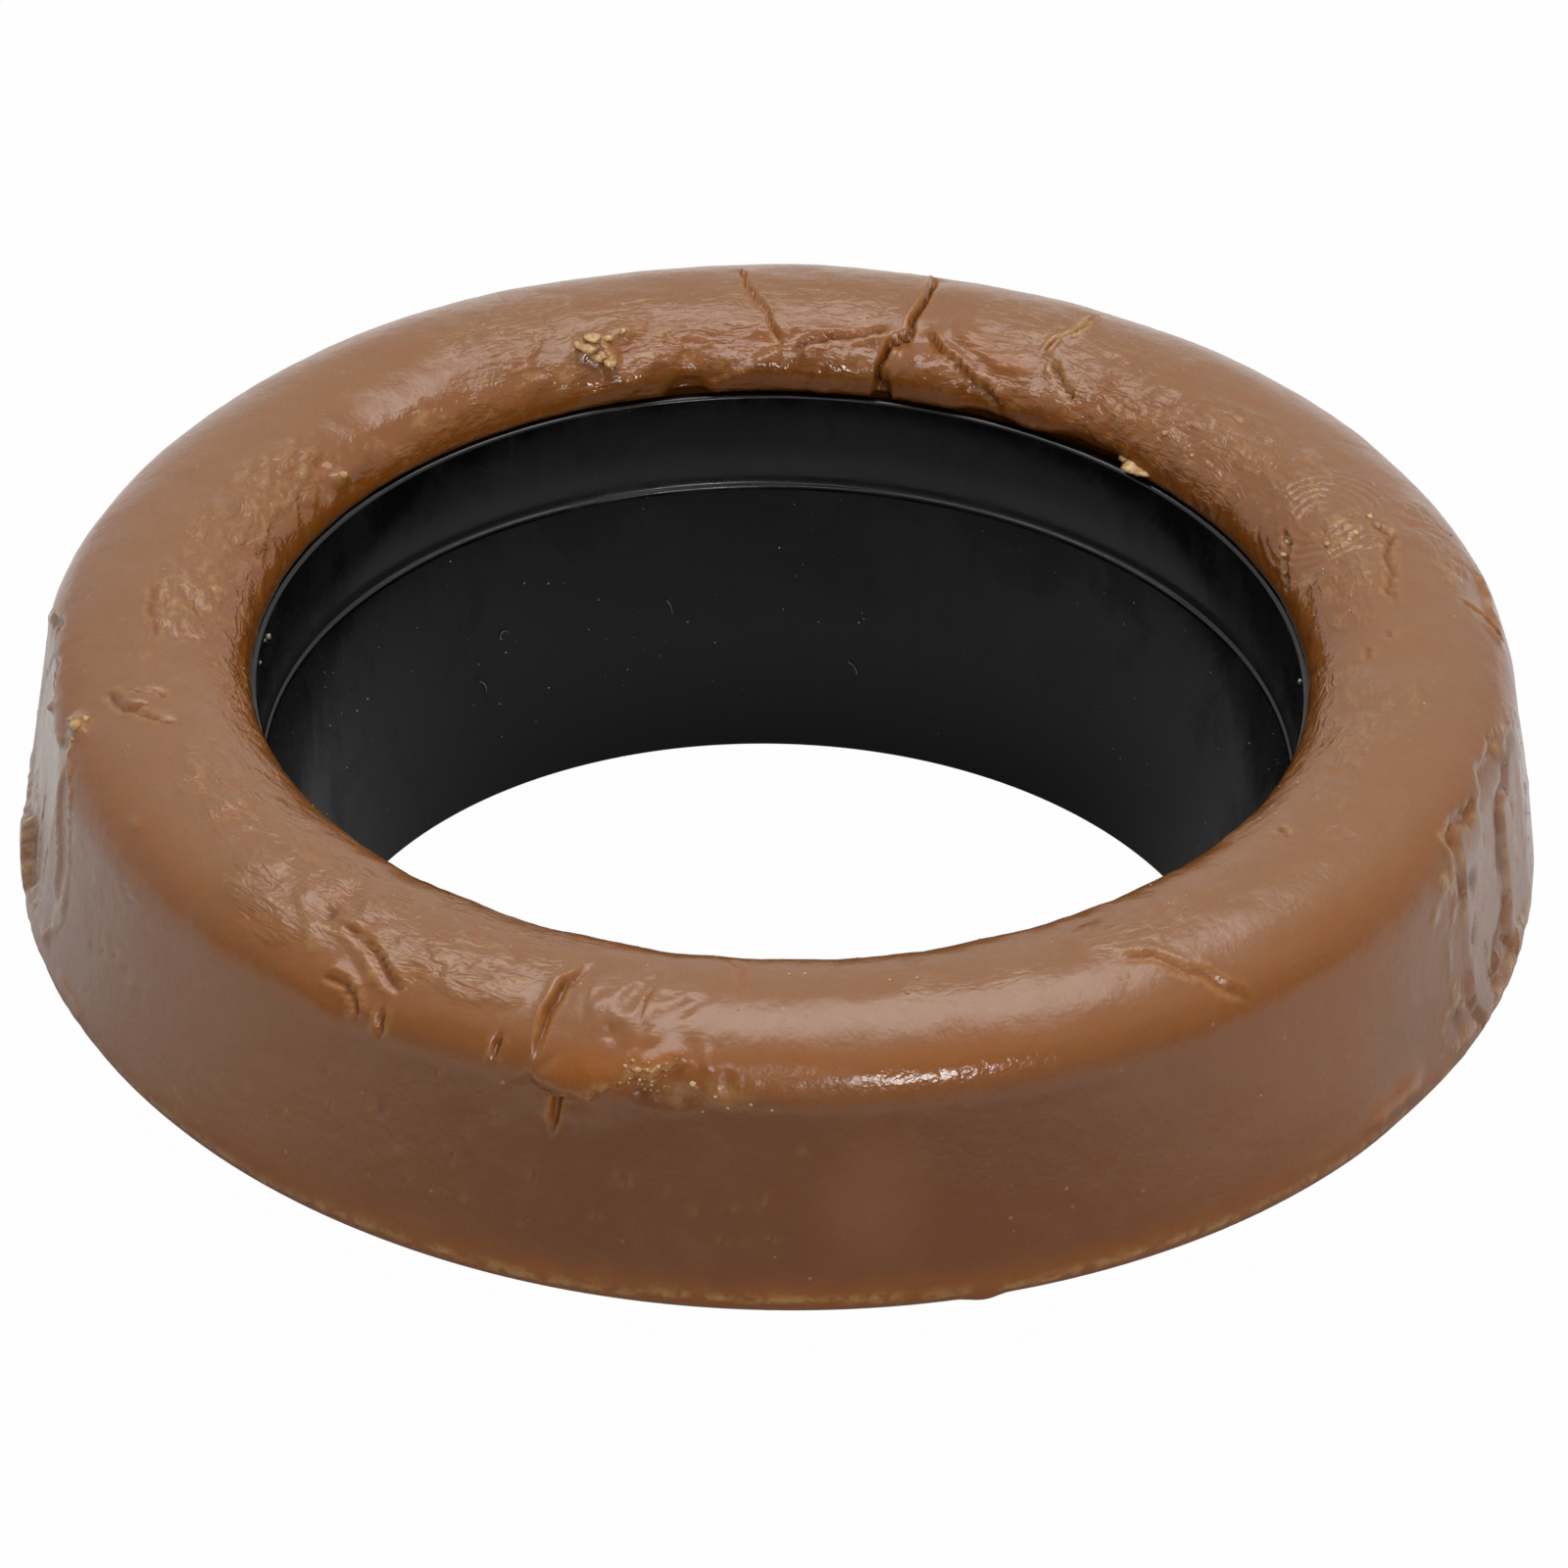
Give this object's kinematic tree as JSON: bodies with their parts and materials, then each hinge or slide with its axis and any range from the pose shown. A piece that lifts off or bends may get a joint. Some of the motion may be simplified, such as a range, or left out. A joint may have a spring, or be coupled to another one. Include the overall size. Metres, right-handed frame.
{
  "type": "toilet pan seal",
  "caption": "Soft wax ring cast around a black plastic horn sleeve, which seals a toilet pan to its floor outlet.",
  "frame": {"origin": "centre of the sleeve's lower end, on the surface that the part stands on", "axes": "+Z along the waste passage, from the horn's lower end up to the wax crown; -Y towards the side with the front crack"},
  "size_m": [0.1269, 0.127, 0.0401],
  "materials": {
    "brown_wax": "soft caramel brown wax with a satin sheen, scuffed and cracked",
    "black_plastic": "glossy black moulded plastic with light dust"
  },
  "bodies": {
    "root": {"wax_ring": "brown_wax", "horn_sleeve": "black_plastic"}
  },
  "joints": []
}
